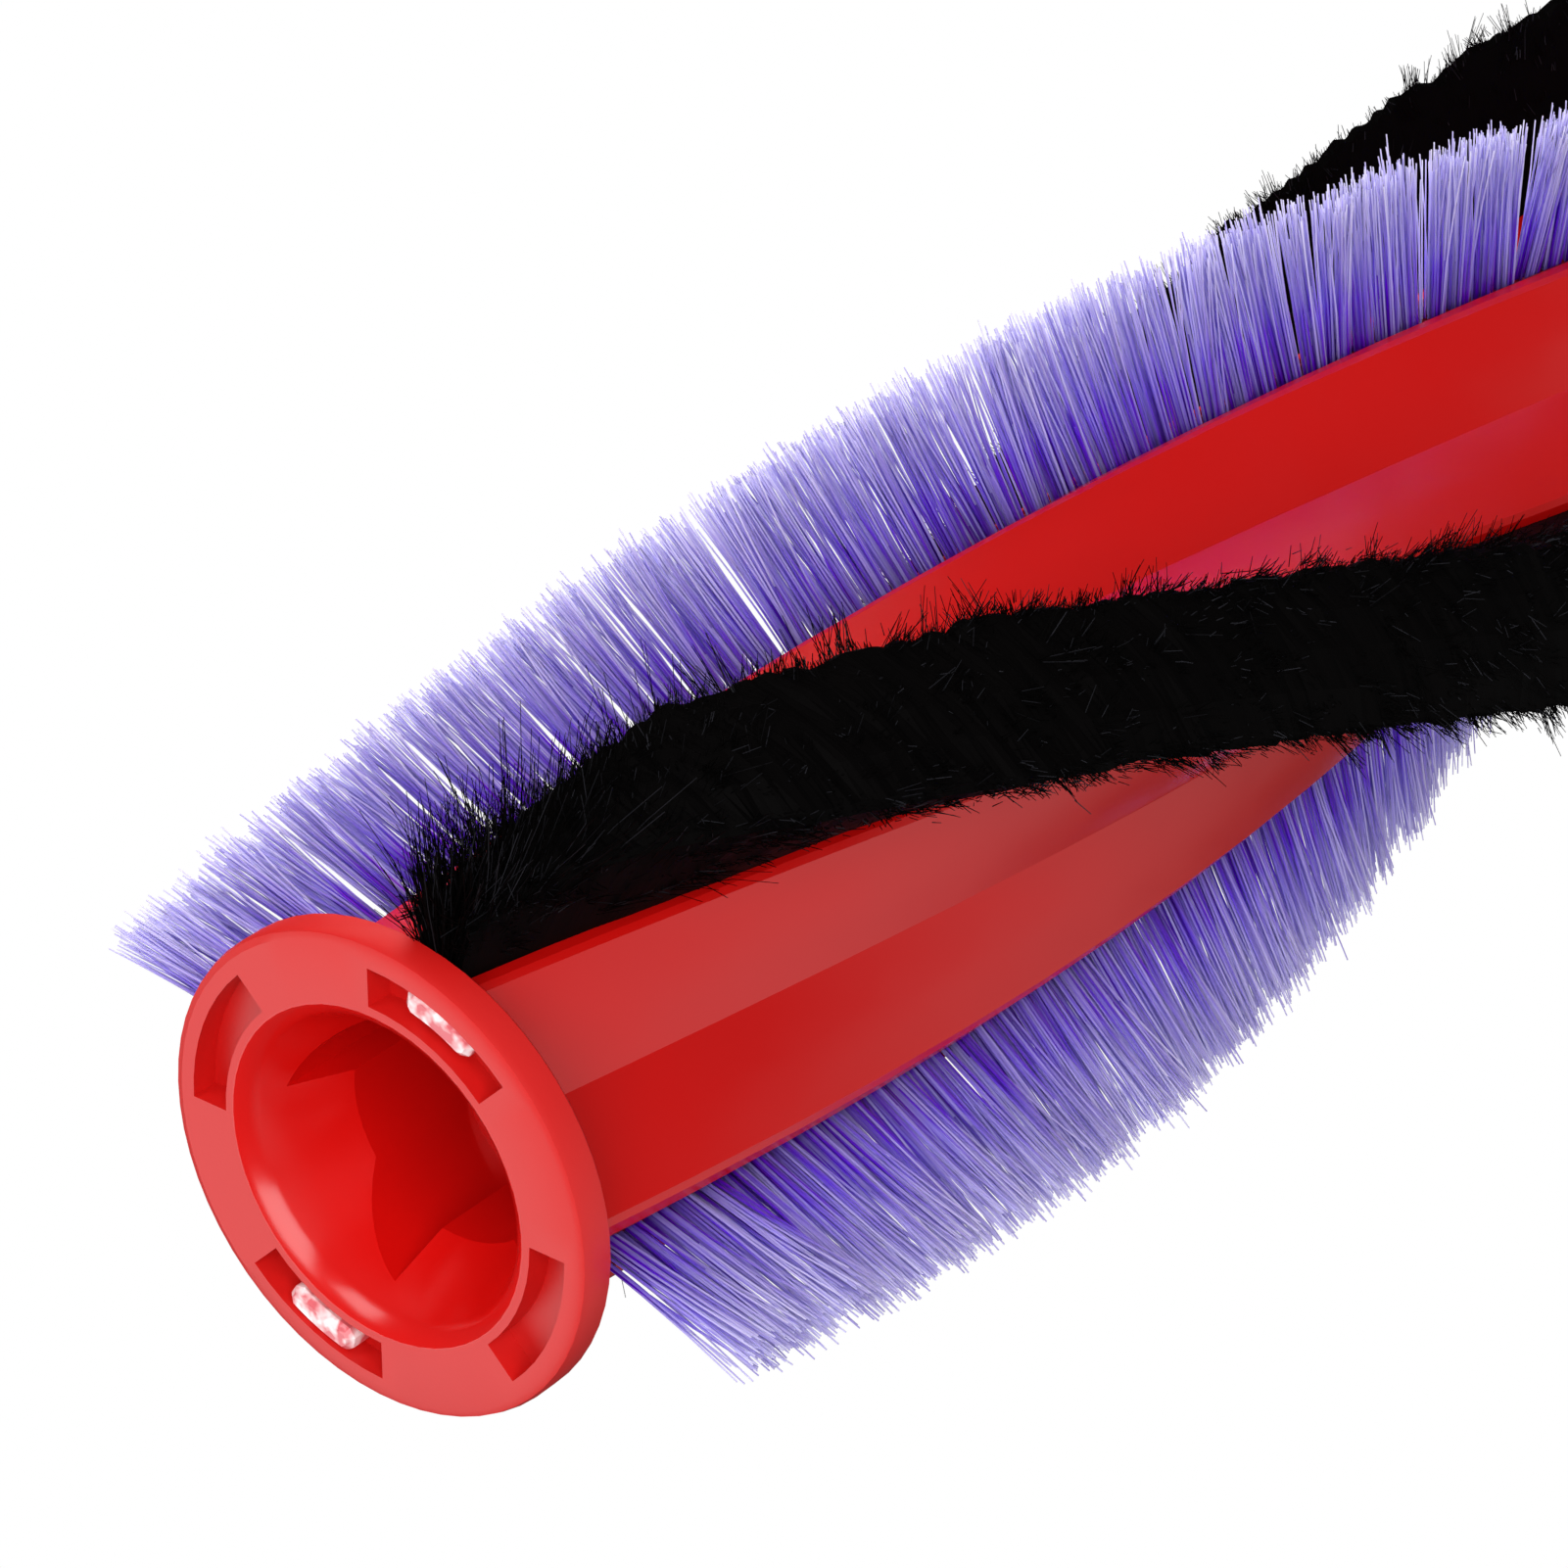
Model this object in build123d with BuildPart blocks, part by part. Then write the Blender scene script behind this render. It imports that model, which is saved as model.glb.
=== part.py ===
"""Twisted roller brush for a vacuum cleaner's floor head.

A four-lobed tube with a steady right-hand twist carries two rows of stiff tufts and two
strips of soft pile in undercut channels. The roller stands on its plugged end: +Z runs along
its axis towards the open throat, and the origin is the middle of the plug's outer face.
"""

import os

from build123d import *

# Driving dimensions, in millimetres and degrees

ROLLER_LENGTH = 225.0
TWIST_RATE = 0.656  # right-hand turn for each millimetre of length
STRIP_COUNT = 4

# Throat flange and its drive pockets
FLANGE_DIAMETER = 33.0
FLANGE_THICKNESS = 2.8
FLANGE_EDGE_RADIUS = 0.6
FLANGE_EDGE_FACETS = 2
FLANGE_BACK_CHAMFER = 0.4
POCKET_FLOOR = 0.8
POCKET_INNER_WALL = 0.6
POCKET_OUTER_WALL = 1.6
POCKET_ANGLE = 44.5
POCKET_LAG = 14.6  # a pocket's middle behind the crest of its lobe

# Four-lobed tube
CREST_DISTANCE = 14.0
CREST_WIDTH = 5.1
CREST_EDGE_CHAMFER = 0.3
VALLEY_DISTANCE = 10.0
VALLEY_WALL = 2.0
FLANK_BULGE = 0.25  # rise of a flank's middle between crest and valley

# Undercut channels along the crests
LIP_THICKNESS = 1.2
CHANNEL_MOUTH = 3.0
CHANNEL_WIDTH = 4.4
CHANNEL_DEPTH = 1.6
CHANNEL_FLOOR = 1.4

# Throat and bore
THROAT_DIAMETER = 22.0
THROAT_DEPTH = 7.2
THROAT_LIP_RUN = 1.3
THROAT_LIP_SPREAD = 0.6
THROAT_LIP_FACETS = 2
NOTCH_ANGLE = 52.0
NOTCH_RUNOUT = 0.3  # how far a notch's ramp runs on inside the bore
NOTCH_DEPTH = 16.0

# Plugged end
PLUG_THICKNESS = 2.8
SPIGOT_LENGTH = 14.0
SPIGOT_CLEARANCE = 0.1
SPIGOT_END_GAP = 0.2
SOCKET_STEP = 0.6  # socket for the spigot, wider than the bore
SOCKET_FLAT_STEP = 0.3  # flats that keep the plug from turning
BUSH_DIAMETER = 9.0
BUSH_BORE = 6.0
BUSH_LENGTH = 10.0
BUSH_CLEARANCE = 0.03
BUSH_RECESS = 0.3

# Strips that slide into the channels
STRIP_CLEARANCE = 0.1
STRIP_END_GAP = 0.2
STRIP_RECESS = 0.3  # below the crest

# Stiff tufts
TUFT_PITCH = 2.6
TUFT_END_MARGIN = 2.0
TUFT_ROOT_WIDTH = 1.5
TUFT_TIP_WIDTH = 2.4
TUFT_SWEEP_DIAMETER = 52.0
TUFT_GROOVE_DEPTH = 0.8
TUFT_CLEARANCE = 0.25
TUFT_SEAT_GAP = 0.05

# Soft pile
PILE_SWEEP_DIAMETER = 51.0
PILE_ROOT_WIDTH = 2.6
PILE_WAIST_WIDTH = 6.8  # halfway from root to tip
PILE_TIP_WIDTH = 12.3
PILE_TOP_WIDTH = 6.2
PILE_CROWN = 1.4  # rise of the pile's top over its edges
PILE_SEAT_GAP = 0.05
PILE_THROAT_GAP = 0.8  # bare tape at the throat, on the strip in front
PILE_LONG_GAP = 14.0  # the same on the strip behind

# Adhesive dabs in two of the pockets
DAB_ANGLE = 22.0
DAB_WIDTH = 1.8
DAB_CORNER_CHAMFER = 0.5
DAB_EDGE_CHAMFER = 0.4
DAB_CLEARANCE = 0.05
DAB_RECESS = 0.1

# Sizes and places that follow from the driving dimensions

flange_radius = FLANGE_DIAMETER / 2
flange_base = ROLLER_LENGTH - FLANGE_THICKNESS
tube_height = flange_base - PLUG_THICKNESS

channel_top = CREST_DISTANCE - LIP_THICKNESS
channel_bottom = channel_top - CHANNEL_DEPTH
notch_radius = channel_bottom - CHANNEL_FLOOR
throat_radius = THROAT_DIAMETER / 2
bore_radius = VALLEY_DISTANCE - VALLEY_WALL
throat_slope = (throat_radius - bore_radius) / THROAT_DEPTH
socket_radius = bore_radius + SOCKET_STEP
socket_flats = 2 * (bore_radius + SOCKET_FLAT_STEP)

pocket_inner_radius = throat_radius + THROAT_LIP_SPREAD + POCKET_INNER_WALL
pocket_outer_radius = flange_radius - POCKET_OUTER_WALL
pocket_base = flange_base + POCKET_FLOOR

strip_base = PLUG_THICKNESS + STRIP_END_GAP
strip_height = tube_height - 2 * STRIP_END_GAP
strip_top = CREST_DISTANCE - STRIP_RECESS
foot_bottom = channel_bottom + STRIP_CLEARANCE
foot_top = channel_top - STRIP_CLEARANCE

tuft_root = strip_top - TUFT_GROOVE_DEPTH + TUFT_SEAT_GAP
tuft_tip = TUFT_SWEEP_DIAMETER / 2
tuft_run = strip_height - 2 * TUFT_END_MARGIN
tuft_count = int(tuft_run / TUFT_PITCH) + 1
first_tuft = strip_base + (strip_height - (tuft_count - 1) * TUFT_PITCH) / 2

pile_root = foot_top + PILE_SEAT_GAP
pile_tip = PILE_SWEEP_DIAMETER / 2
pile_edge = pile_tip - PILE_CROWN


def twist_at(height):
    """Angle of the first lobe's crest at a height; it is zero at the throat's face."""
    return TWIST_RATE * (height - ROLLER_LENGTH)


def twist_plane(height):
    """Plane across the roller whose local X points at the first lobe's crest."""
    return Plane.XY.offset(height).rotated((0, 0, twist_at(height)))


def twist_path(base, height):
    """Straight path along the axis, and the helix that turns a section swept along it."""
    path = Edge.make_line((0, 0, base), (0, 0, base + height))
    guide = Edge.make_helix(360 / TWIST_RATE, height, CREST_DISTANCE, center=(0, 0, base))
    return path, guide


def arc_band(inner_radius, outer_radius, middle, span):
    """Ring sector with radial ends, about the origin."""
    start = middle - span / 2
    with BuildSketch() as band:
        with BuildLine():
            inner = CenterArc((0, 0), inner_radius, start, span)
            outer = CenterArc((0, 0), outer_radius, start, span)
            Line(inner @ 0, outer @ 0)
            Line(inner @ 1, outer @ 1)
        make_face()
    return band.sketch


def facet_points(start, corner, end, facets):
    """Points that round a corner off in a few flats."""
    curve = Edge.make_bezier(start, corner, end)
    return [curve @ (step / facets) for step in range(facets + 1)]


def lobe_section():
    """One lobe of the tube, from the axis to its crest on local X, with a valley on each side."""
    corner = Vector(CREST_DISTANCE, CREST_WIDTH / 2)
    valley = Vector(VALLEY_DISTANCE, 0).rotate(Axis.Z, 180 / STRIP_COUNT)
    bulge = (corner - valley).rotate(Axis.Z, 90).normalized() * FLANK_BULGE
    with BuildSketch() as section:
        with BuildLine():
            half = Polyline((0, 0), valley, (corner + valley) * 0.5 + bulge, corner, (CREST_DISTANCE, 0))
            mirror(half, about=Plane.XZ)
        make_face()
    return section.sketch


def notch_section():
    """Ramp that leaves the bore's wall and ends in a sharp drive edge on local X."""
    with BuildSketch() as section:
        with BuildLine():
            edge = Line((0, 0), (notch_radius, 0))
            middle = PolarLine((0, 0), (notch_radius + bore_radius) / 2, -NOTCH_ANGLE / 2, mode=Mode.PRIVATE)
            foot = PolarLine((0, 0), bore_radius - NOTCH_RUNOUT, -NOTCH_ANGLE)
            ThreePointArc(foot @ 1, middle @ 1, edge @ 1)
        make_face()
    return section.sketch


def tape_section():
    """Flat foot that slides in a channel, pointing along local X."""
    with BuildSketch() as section:
        with Locations(((foot_bottom + foot_top) / 2, 0)):
            Rectangle(foot_top - foot_bottom, CHANNEL_WIDTH - 2 * STRIP_CLEARANCE)
    return section.sketch


def carrier_section():
    """Foot with a stem that fills the channel's mouth, grooved along its top for the tufts."""
    with BuildSketch() as section:
        add(tape_section())
        with Locations(((foot_bottom + strip_top) / 2, 0)):
            Rectangle(strip_top - foot_bottom, CHANNEL_MOUTH - 2 * STRIP_CLEARANCE)
        with Locations((strip_top, 0)):
            Rectangle(2 * TUFT_GROOVE_DEPTH, TUFT_ROOT_WIDTH + 2 * TUFT_CLEARANCE, mode=Mode.SUBTRACT)
    return section.sketch


def pile_section():
    """Section of the pile above its tape, pointing along local X."""
    with BuildSketch() as section:
        with BuildLine():
            side = Polyline(
                (pile_root, 0),
                (pile_root, PILE_ROOT_WIDTH / 2),
                (CREST_DISTANCE, PILE_ROOT_WIDTH / 2),
                ((CREST_DISTANCE + pile_edge) / 2, PILE_WAIST_WIDTH / 2),
                (pile_edge, PILE_TIP_WIDTH / 2),
                (pile_tip, PILE_TOP_WIDTH / 2),
                (pile_tip, 0),
            )
            mirror(side, about=Plane.XZ)
        make_face()
    return section.sketch


def flatted_round(radius, across_flats):
    """Round section with two flats."""
    with BuildSketch() as section:
        Circle(radius)
        Rectangle(2 * radius, across_flats, mode=Mode.INTERSECT)
    return section.sketch


# Roller body: twisted tube, flange, throat, drive notches, channels, plug socket and pockets

with BuildPart() as roller_body:
    tube_path, tube_guide = twist_path(PLUG_THICKNESS, tube_height)
    with BuildSketch(twist_plane(PLUG_THICKNESS)):
        with PolarLocations(0, STRIP_COUNT):
            add(lobe_section())
        crest_corners = vertices().sort_by_distance((0, 0, PLUG_THICKNESS))[-2 * STRIP_COUNT :]
        chamfer(crest_corners, CREST_EDGE_CHAMFER)
        with PolarLocations((channel_bottom + channel_top) / 2, STRIP_COUNT):
            Rectangle(CHANNEL_DEPTH, CHANNEL_WIDTH, mode=Mode.SUBTRACT)
        with PolarLocations(CREST_DISTANCE, STRIP_COUNT):
            Rectangle(2 * LIP_THICKNESS, CHANNEL_MOUTH, mode=Mode.SUBTRACT)
    sweep(path=tube_path, binormal=tube_guide)
    with BuildSketch(Plane.XZ):
        with BuildLine():
            Polyline(
                (0, flange_base),
                (flange_radius - FLANGE_BACK_CHAMFER, flange_base),
                (flange_radius, flange_base + FLANGE_BACK_CHAMFER),
                *facet_points(
                    (flange_radius, ROLLER_LENGTH - FLANGE_EDGE_RADIUS),
                    (flange_radius, ROLLER_LENGTH),
                    (flange_radius - FLANGE_EDGE_RADIUS, ROLLER_LENGTH),
                    FLANGE_EDGE_FACETS,
                ),
                (0, ROLLER_LENGTH),
                close=True,
            )
        make_face()
    revolve(axis=Axis.Z)
    with BuildSketch(Plane.XZ):
        with BuildLine():
            Polyline(
                (0, PLUG_THICKNESS),
                (bore_radius, PLUG_THICKNESS),
                (bore_radius, ROLLER_LENGTH - THROAT_DEPTH),
                *facet_points(
                    (throat_radius - throat_slope * THROAT_LIP_RUN, ROLLER_LENGTH - THROAT_LIP_RUN),
                    (throat_radius, ROLLER_LENGTH),
                    (throat_radius + THROAT_LIP_SPREAD, ROLLER_LENGTH),
                    THROAT_LIP_FACETS,
                ),
                (0, ROLLER_LENGTH),
                close=True,
            )
        make_face()
    revolve(axis=Axis.Z, mode=Mode.SUBTRACT)
    with BuildSketch(Plane.XY.offset(ROLLER_LENGTH)):
        with PolarLocations(0, STRIP_COUNT):
            add(notch_section())
    extrude(amount=-NOTCH_DEPTH, mode=Mode.SUBTRACT)
    with BuildSketch(Plane.XY.offset(PLUG_THICKNESS)):
        add(flatted_round(socket_radius, socket_flats))
    extrude(amount=SPIGOT_LENGTH, mode=Mode.SUBTRACT)
    with BuildSketch(Plane.XY.offset(pocket_base)):
        with PolarLocations(0, STRIP_COUNT):
            add(arc_band(pocket_inner_radius, pocket_outer_radius, -POCKET_LAG, POCKET_ANGLE))
    extrude(amount=ROLLER_LENGTH - pocket_base, mode=Mode.SUBTRACT)

# End plug: flange that the roller stands on, flatted spigot and seat for the bush

with BuildPart() as end_plug:
    with BuildSketch():
        Circle(flange_radius)
    extrude(amount=PLUG_THICKNESS)
    chamfer(edges().group_by(Axis.Z)[0], FLANGE_BACK_CHAMFER)
    with BuildSketch(Plane.XY.offset(PLUG_THICKNESS)):
        add(flatted_round(socket_radius - SPIGOT_CLEARANCE, socket_flats - 2 * SPIGOT_CLEARANCE))
    extrude(amount=SPIGOT_LENGTH - SPIGOT_END_GAP)
    with BuildSketch():
        Circle(BUSH_DIAMETER / 2 + BUSH_CLEARANCE)
    extrude(amount=BUSH_LENGTH + 2 * BUSH_RECESS, mode=Mode.SUBTRACT)

# Pivot bush: plain bearing pressed into the plug

with BuildPart() as pivot_bush:
    with BuildSketch(Plane.XY.offset(BUSH_RECESS)):
        Circle(BUSH_DIAMETER / 2)
        Circle(BUSH_BORE / 2, mode=Mode.SUBTRACT)
    extrude(amount=BUSH_LENGTH)

# Strips: two grooved carriers for tufts and two flat tapes for pile

strip_path, strip_guide = twist_path(strip_base, strip_height)

with BuildPart() as bristle_carrier_1:
    with BuildSketch(twist_plane(strip_base)):
        add(carrier_section())
    sweep(path=strip_path, binormal=strip_guide)

with BuildPart() as bristle_carrier_2:
    with Locations(Location((0, 0, 0), (0, 0, 180))):
        add(bristle_carrier_1.part)

with BuildPart() as pile_backing_1:
    with BuildSketch(twist_plane(strip_base)):
        with Locations(Location((0, 0, 0), (0, 0, 90))):
            add(tape_section())
    sweep(path=strip_path, binormal=strip_guide)

with BuildPart() as pile_backing_2:
    with Locations(Location((0, 0, 0), (0, 0, 180))):
        add(pile_backing_1.part)

# Tufts: flared bundles, one above the other along the carrier's twist

with BuildPart() as tuft:
    with BuildSketch():
        with BuildLine():
            Polyline(
                (tuft_root, -TUFT_ROOT_WIDTH / 2),
                (tuft_tip, -TUFT_TIP_WIDTH / 2),
                (tuft_tip, TUFT_TIP_WIDTH / 2),
                (tuft_root, TUFT_ROOT_WIDTH / 2),
                close=True,
            )
        flare = make_face()
    extrude(amount=TUFT_TIP_WIDTH, both=True)
    with BuildSketch(Plane.XZ):
        add(flare)
    extrude(amount=TUFT_TIP_WIDTH, both=True, mode=Mode.INTERSECT)

with BuildPart() as bristle_tufts_1:
    for index in range(tuft_count):
        height = first_tuft + index * TUFT_PITCH
        with Locations(Location((0, 0, height), (0, 0, twist_at(height)))):
            add(tuft.part)

with BuildPart() as bristle_tufts_2:
    with Locations(Location((0, 0, 0), (0, 0, 180))):
        add(bristle_tufts_1.part)

# Pile: a dense strip that fans out from the channel's mouth to a bevelled top

with BuildPart() as pile_1:
    with BuildSketch(twist_plane(strip_base)):
        with Locations(Location((0, 0, 0), (0, 0, 90))):
            add(pile_section())
    pile_path, pile_guide = twist_path(strip_base, strip_height - PILE_LONG_GAP)
    sweep(path=pile_path, binormal=pile_guide)

with BuildPart() as pile_2:
    with BuildSketch(twist_plane(strip_base)):
        with Locations(Location((0, 0, 0), (0, 0, 270))):
            add(pile_section())
    pile_path, pile_guide = twist_path(strip_base, strip_height - PILE_THROAT_GAP)
    sweep(path=pile_path, binormal=pile_guide)

# Adhesive dabs against the outer wall of the pockets beside the pile

with BuildPart() as adhesive_dabs:
    dab_base = pocket_base + DAB_CLEARANCE
    dab_outer_radius = pocket_outer_radius - DAB_CLEARANCE
    with BuildSketch(Plane.XY.offset(dab_base)):
        with PolarLocations(0, 2, start_angle=90):
            add(arc_band(dab_outer_radius - DAB_WIDTH, dab_outer_radius, -POCKET_LAG, DAB_ANGLE))
    extrude(amount=ROLLER_LENGTH - DAB_RECESS - dab_base)
    chamfer(edges().filter_by(Axis.Z), DAB_CORNER_CHAMFER)
    chamfer(edges().group_by(Axis.Z)[-1], DAB_EDGE_CHAMFER)

pieces = {
    "roller_body": roller_body,
    "end_plug": end_plug,
    "pivot_bush": pivot_bush,
    "bristle_carrier_1": bristle_carrier_1,
    "bristle_carrier_2": bristle_carrier_2,
    "bristle_tufts_1": bristle_tufts_1,
    "bristle_tufts_2": bristle_tufts_2,
    "pile_backing_1": pile_backing_1,
    "pile_backing_2": pile_backing_2,
    "pile_1": pile_1,
    "pile_2": pile_2,
    "adhesive_dabs": adhesive_dabs,
}

os.makedirs("parts", exist_ok=True)
for node, piece in pieces.items():
    piece.part.label = node
    export_step(piece.part, f"parts/{node}.step")
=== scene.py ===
"""Looks of a twisted vacuum roller brush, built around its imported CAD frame.

The plug, the bush, the strips and the adhesive keep their CAD meshes, and the body is a copy of
its own with the facets joined. The tufts and the soft pile are grown here as separate filaments,
along the same helix as the CAD strips.
"""

from __future__ import annotations

import logging
import math
import random
from collections.abc import Mapping
from dataclasses import dataclass, field
from typing import Any

import bmesh
import bpy
from mathutils import Matrix, Vector, noise

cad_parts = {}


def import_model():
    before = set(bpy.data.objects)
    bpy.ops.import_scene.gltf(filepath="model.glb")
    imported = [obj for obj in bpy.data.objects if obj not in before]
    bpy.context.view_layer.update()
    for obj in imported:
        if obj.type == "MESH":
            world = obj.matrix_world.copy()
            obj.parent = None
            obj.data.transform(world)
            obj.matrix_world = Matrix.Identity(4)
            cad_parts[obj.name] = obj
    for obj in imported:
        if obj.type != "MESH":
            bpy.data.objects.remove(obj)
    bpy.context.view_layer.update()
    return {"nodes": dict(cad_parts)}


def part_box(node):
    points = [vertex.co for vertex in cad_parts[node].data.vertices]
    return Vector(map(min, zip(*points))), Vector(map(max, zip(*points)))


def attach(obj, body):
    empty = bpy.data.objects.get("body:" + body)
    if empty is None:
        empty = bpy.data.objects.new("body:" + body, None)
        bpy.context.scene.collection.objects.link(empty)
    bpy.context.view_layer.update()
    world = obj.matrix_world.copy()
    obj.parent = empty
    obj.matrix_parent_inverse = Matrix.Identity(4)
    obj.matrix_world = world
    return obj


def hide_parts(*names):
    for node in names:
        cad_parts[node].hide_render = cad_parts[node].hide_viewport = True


LOG = logging.getLogger("roller_brush")
MM = 0.001
ROOT_BODY = "root"

UP = Vector((0, 0, 1))

# Attributes of a filament's corners: share of its length, shade, and push aside at the tip.
ALONG = "along"
TINT = "tint"
BEND = "bend"

# One side of the pile's dense core, from its root over its shoulder to its crown. Each point is a
# share of the core's reach and a share of its half width.
CORE_SIDE = (
    (0.0, 1.0),
    (0.3, 0.97),
    (0.6, 0.97),
    (0.85, 0.97),
    (0.96, 0.95),
    (1.0, 0.86),
    (1.0, 0.43),
)
CORE_CROWN = (1.0, 0.0)


def hex_to_linear(code: str) -> tuple[float, float, float, float]:
    """Turn an sRGB hex colour into linear RGBA.

    Args:
        code: Colour such as "#c8102e".

    Returns:
        Red, green, blue and alpha as Blender's sockets take them.
    """
    channels = [int(code[i : i + 2], 16) / 255 for i in (1, 3, 5)]
    linear = [c / 12.92 if c <= 0.04045 else ((c + 0.055) / 1.055) ** 2.4 for c in channels]
    return (linear[0], linear[1], linear[2], 1.0)


def add_node(
    tree: bpy.types.NodeTree,
    kind: str,
    settings: Mapping[str, Any] | None = None,
    inputs: Mapping[str | int, Any] | None = None,
) -> bpy.types.Node:
    """Add a shader node, set it up and link it.

    Args:
        tree: Node tree of the material.
        kind: Blender's node type name.
        settings: Properties of the node itself.
        inputs: Socket name or index to a value, or to the socket that feeds it.

    Returns:
        The new node.
    """
    node = tree.nodes.new(kind)
    for name, value in (settings or {}).items():
        setattr(node, name, value)
    for key, value in (inputs or {}).items():
        if isinstance(value, bpy.types.NodeSocket):
            tree.links.new(value, node.inputs[key])
        else:
            node.inputs[key].default_value = value
    return node


def set_ramp(node: bpy.types.Node, stops: Mapping[float, tuple[float, ...]]) -> None:
    """Give a colour ramp its stops.

    Args:
        node: The colour ramp.
        stops: Place to linear colour, in rising order of place.
    """
    elements = node.color_ramp.elements
    while len(elements) < len(stops):
        elements.new(1.0)
    for element, (place, colour) in zip(elements, stops.items()):
        element.position = place
        element.color = colour


def new_material(name: str) -> tuple[bpy.types.Material, bpy.types.NodeTree, bpy.types.Node]:
    """Make an empty node material with a Principled shader.

    Args:
        name: Name of the real material.

    Returns:
        The material, its tree and its Principled node.
    """
    material = bpy.data.materials.new(name)
    material.use_nodes = True
    tree = material.node_tree
    tree.nodes.clear()
    shader = add_node(tree, "ShaderNodeBsdfPrincipled")
    add_node(tree, "ShaderNodeOutputMaterial", inputs={"Surface": shader.outputs["BSDF"]})
    return material, tree, shader


def pattern_scale(size_mm: float) -> float:
    """Texture scale, per metre of Object coordinates, for features of a real size."""
    return 1.0 / (size_mm * MM)


def place_mesh(bm: bmesh.types.BMesh, name: str) -> bpy.types.Object:
    """Turn a bmesh into an object of the scene, at the origin, and free it.

    Args:
        bm: Mesh to take over.
        name: Name of the object and of its mesh.

    Returns:
        The new object.
    """
    mesh = bpy.data.meshes.new(name)
    bm.to_mesh(mesh)
    bm.free()
    piece = bpy.data.objects.new(name, mesh)
    bpy.context.scene.collection.objects.link(piece)
    return piece


@dataclass(frozen=True)
class RedMoulding:
    """Injection-moulded ABS: polished on the tube, spark-eroded and duller on the flanges."""

    name: str = "Red moulded ABS"
    tube_colour: str = "#d20d0a"
    flange_colour: str = "#d21512"
    tube_roughness: float = 0.2
    flange_roughness: float = 0.42
    ior: float = 1.54
    smear_mm: float = 6.0
    smear_range: tuple[float, float] = (-0.04, 0.06)
    grain_mm: float = 0.25
    grain_depth_mm: float = 0.04
    grain_strength: float = 0.18

    def build(self, flange_base: float, throat_radius: float) -> bpy.types.Material:
        """Make the material.

        Args:
            flange_base: Height of the throat flange's underside, in metres.
            throat_radius: Radius inside which the surface is polished, in metres.

        Returns:
            The finished material.
        """
        material, tree, shader = new_material(self.name)
        coords = add_node(tree, "ShaderNodeTexCoord").outputs["Object"]
        split = add_node(tree, "ShaderNodeSeparateXYZ", inputs={0: coords})
        across = add_node(
            tree,
            "ShaderNodeCombineXYZ",
            inputs={"X": split.outputs["X"], "Y": split.outputs["Y"]},
        )
        radius = add_node(
            tree,
            "ShaderNodeVectorMath",
            {"operation": "LENGTH"},
            {0: across.outputs[0]},
        )
        above = add_node(
            tree,
            "ShaderNodeMath",
            {"operation": "GREATER_THAN"},
            {0: split.outputs["Z"], 1: flange_base},
        )
        outside = add_node(
            tree,
            "ShaderNodeMath",
            {"operation": "GREATER_THAN"},
            {0: radius.outputs["Value"], 1: throat_radius},
        )
        matte = add_node(
            tree,
            "ShaderNodeMath",
            {"operation": "MULTIPLY"},
            {0: above.outputs[0], 1: outside.outputs[0]},
        )
        colour = add_node(
            tree,
            "ShaderNodeMix",
            {"data_type": "RGBA"},
            {
                0: matte.outputs[0],
                6: hex_to_linear(self.tube_colour),
                7: hex_to_linear(self.flange_colour),
            },
        )
        smudge = add_node(
            tree,
            "ShaderNodeTexNoise",
            inputs={"Vector": coords, "Scale": pattern_scale(self.smear_mm), "Detail": 3.0},
        )
        smear = add_node(
            tree,
            "ShaderNodeMapRange",
            inputs={
                0: smudge.outputs["Fac"],
                3: self.tube_roughness + self.smear_range[0],
                4: self.tube_roughness + self.smear_range[1],
            },
        )
        rough = add_node(
            tree,
            "ShaderNodeMix",
            inputs={0: matte.outputs[0], 2: smear.outputs[0], 3: self.flange_roughness},
        )
        grain = add_node(
            tree,
            "ShaderNodeTexNoise",
            inputs={"Vector": coords, "Scale": pattern_scale(self.grain_mm), "Detail": 2.0},
        )
        grain_height = add_node(
            tree,
            "ShaderNodeMath",
            {"operation": "MULTIPLY"},
            {0: grain.outputs["Fac"], 1: matte.outputs[0]},
        )
        bump = add_node(
            tree,
            "ShaderNodeBump",
            inputs={
                "Strength": self.grain_strength,
                "Distance": self.grain_depth_mm * MM,
                "Height": grain_height.outputs[0],
            },
        )
        tree.links.new(colour.outputs[2], shader.inputs["Base Color"])
        tree.links.new(rough.outputs[0], shader.inputs["Roughness"])
        tree.links.new(bump.outputs[0], shader.inputs["Normal"])
        shader.inputs["IOR"].default_value = self.ior
        return material


@dataclass(frozen=True)
class CarrierPlastic:
    """Extruded polypropylene: waxy, faintly lined along its length."""

    name: str = "Extruded red polypropylene"
    colour: str = "#8f0d0c"
    roughness: float = 0.42
    ior: float = 1.49
    line_mm: float = 0.4
    line_contrast: float = 0.06

    def build(self) -> bpy.types.Material:
        """Make the material.

        Returns:
            The finished material.
        """
        material, tree, shader = new_material(self.name)
        coords = add_node(tree, "ShaderNodeTexCoord").outputs["Object"]
        lines = add_node(
            tree,
            "ShaderNodeTexNoise",
            inputs={"Vector": coords, "Scale": pattern_scale(self.line_mm), "Detail": 1.0},
        )
        rough = add_node(
            tree,
            "ShaderNodeMapRange",
            inputs={
                0: lines.outputs["Fac"],
                3: self.roughness - self.line_contrast,
                4: self.roughness + self.line_contrast,
            },
        )
        tree.links.new(rough.outputs[0], shader.inputs["Roughness"])
        shader.inputs["Base Color"].default_value = hex_to_linear(self.colour)
        shader.inputs["IOR"].default_value = self.ior
        return material


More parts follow.
